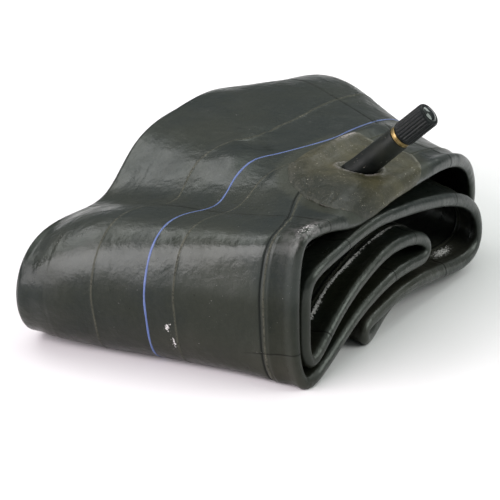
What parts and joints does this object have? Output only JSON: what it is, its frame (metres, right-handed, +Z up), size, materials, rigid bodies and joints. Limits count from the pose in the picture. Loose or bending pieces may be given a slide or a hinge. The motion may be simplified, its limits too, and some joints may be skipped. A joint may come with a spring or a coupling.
{
  "type": "rolled inner tube with straight rubber valve",
  "caption": "Rubber inner tube squeezed flat and rolled into a packet, with a straight rubber-covered valve, brass core and screw cap.",
  "frame": {"origin": "on the floor under the middle of the packet, where the bottom layer of the tube lies flat", "axes": "+Z up from the floor; +Y from the front roll to the back roll, along the length of the packet; +X across the flattened tube, from its tread edge towards its rim edge and the valve"},
  "size_m": [0.1404, 0.237, 0.0942],
  "materials": {
    "tube_rubber": "satin, grey-green black, lightly scuffed and dusted",
    "stripe_rubber": "matt",
    "patch_rubber": "rough, olive brown",
    "stem_rubber": "satin",
    "brass": "machined",
    "seal_red": "satin",
    "seal_black": "matt",
    "spring_steel": "drawn wire",
    "cap_plastic": "moulded, glossy end button"
  },
  "bodies": {
    "packet": {"tube_body": "tube_rubber", "colour_stripe": "stripe_rubber", "valve_patch": "patch_rubber", "valve_stem": "stem_rubber", "stem_insert": "brass"},
    "cap_lining": {"cap_gasket": "seal_black"},
    "cap": {"cap_shell": "cap_plastic"},
    "core": {"core_barrel": "brass", "barrel_seal": "seal_red", "core_spring": "spring_steel"},
    "core_screw": {"core_plug": "brass"},
    "plunger": {"core_pin": "brass", "plunger_cup": "brass", "plunger_seal": "seal_black"}
  },
  "joints": [
    {"name": "cap_lift", "type": "slide", "parent": "packet", "child": "cap_lining", "axis": [0.7184, 0.1306, 0.6833], "range_m": [0, 0.012]},
    {"name": "cap_turn", "type": "hinge", "parent": "cap_lining", "child": "cap", "pos_m": [0.04002, -0.01621, 0.06412], "axis": [0.7184, 0.1306, 0.6833], "range_deg": [0, 5450]},
    {"name": "core_lift", "type": "slide", "parent": "packet", "child": "core", "axis": [0.7184, 0.1306, 0.6833], "range_m": [0, 0.00353]},
    {"name": "core_turn", "type": "hinge", "parent": "core", "child": "core_screw", "pos_m": [0.04002, -0.01621, 0.06412], "axis": [0.7184, 0.1306, 0.6833], "range_deg": [0, 1810]},
    {"name": "pin_press", "type": "slide", "parent": "core", "child": "plunger", "axis": [0.7184, 0.1306, 0.6833], "range_m": [-0.0012, 0], "stiffness_N_per_m": 200, "springref_m": 0.0008, "deforming": ["core_spring"]}
  ],
  "couplings": [
    {"joint": "cap_turn", "follows": "cap_lift", "rad_per_m": 7913.3},
    {"joint": "core_turn", "follows": "core_lift", "rad_per_m": 8904.7}
  ]
}
